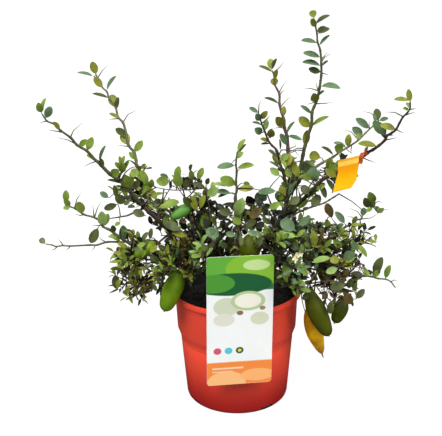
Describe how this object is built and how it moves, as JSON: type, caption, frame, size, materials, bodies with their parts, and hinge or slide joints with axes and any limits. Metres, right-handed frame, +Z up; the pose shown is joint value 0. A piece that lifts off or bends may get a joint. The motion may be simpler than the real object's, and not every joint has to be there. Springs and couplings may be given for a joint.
{
  "type": "potted finger lime tree",
  "caption": "Young finger lime tree with long leafy shoots and hanging fruit, in a round red nursery pot with a label card and a branch flag.",
  "frame": {"origin": "centre of the pot's flat underside", "axes": "+Z up along the pot's axis, -Y towards the front with the label card, +X to the plant's right in the picture"},
  "size_m": [0.4666, 0.2947, 0.494],
  "materials": {
    "pot_plastic": "satin",
    "potting_soil": "matte",
    "label_card": "satin",
    "flag_plastic": "satin",
    "bark": "rough",
    "shoot_leaves": "satin",
    "foliage": "satin"
  },
  "bodies": {
    "root": {"pot": "pot_plastic", "soil": "potting_soil", "card": "label_card", "trunk": "bark", "bough_left": "bark", "bough_left_low": "bark", "bough_right": "bark", "bough_right_low": "bark", "bough_front": "bark", "bough_centre": "bark", "bough_back_left": "bark", "bough_back": "bark", "bough_back_right": "bark", "shoot_left_tall": "shoot_leaves", "shoot_left_far": "shoot_leaves", "shoot_left_short": "shoot_leaves", "shoot_left_bare": "shoot_leaves", "shoot_centre": "shoot_leaves", "shoot_dark_upright": "shoot_leaves", "shoot_dark_side": "shoot_leaves", "shoot_tallest": "shoot_leaves", "shoot_tagged": "shoot_leaves", "shoot_right_back": "shoot_leaves", "twig_cut": "shoot_leaves", "shoot_right_short": "shoot_leaves", "shoot_right_low": "shoot_leaves", "shoot_back": "shoot_leaves", "shoot_back_left": "shoot_leaves", "shoot_back_right": "shoot_leaves", "foliage_left_low": "foliage", "foliage_left_front": "foliage", "foliage_left_middle": "foliage", "foliage_left_upper": "foliage", "foliage_left_outer": "foliage", "foliage_centre_left": "foliage", "foliage_front_left": "foliage", "foliage_centre": "foliage", "foliage_front_right": "foliage", "foliage_right_front_low": "foliage", "foliage_right_upper": "foliage", "foliage_right_inner": "foliage", "foliage_right_middle": "foliage", "foliage_right_low": "foliage", "foliage_right_outer": "foliage", "foliage_right_tip": "foliage", "foliage_back_left": "foliage", "foliage_back_left_low": "foliage", "foliage_back": "foliage", "foliage_back_low": "foliage", "foliage_back_right": "foliage", "foliage_back_right_low": "foliage", "branch_flag": "flag_plastic"}
  },
  "joints": []
}
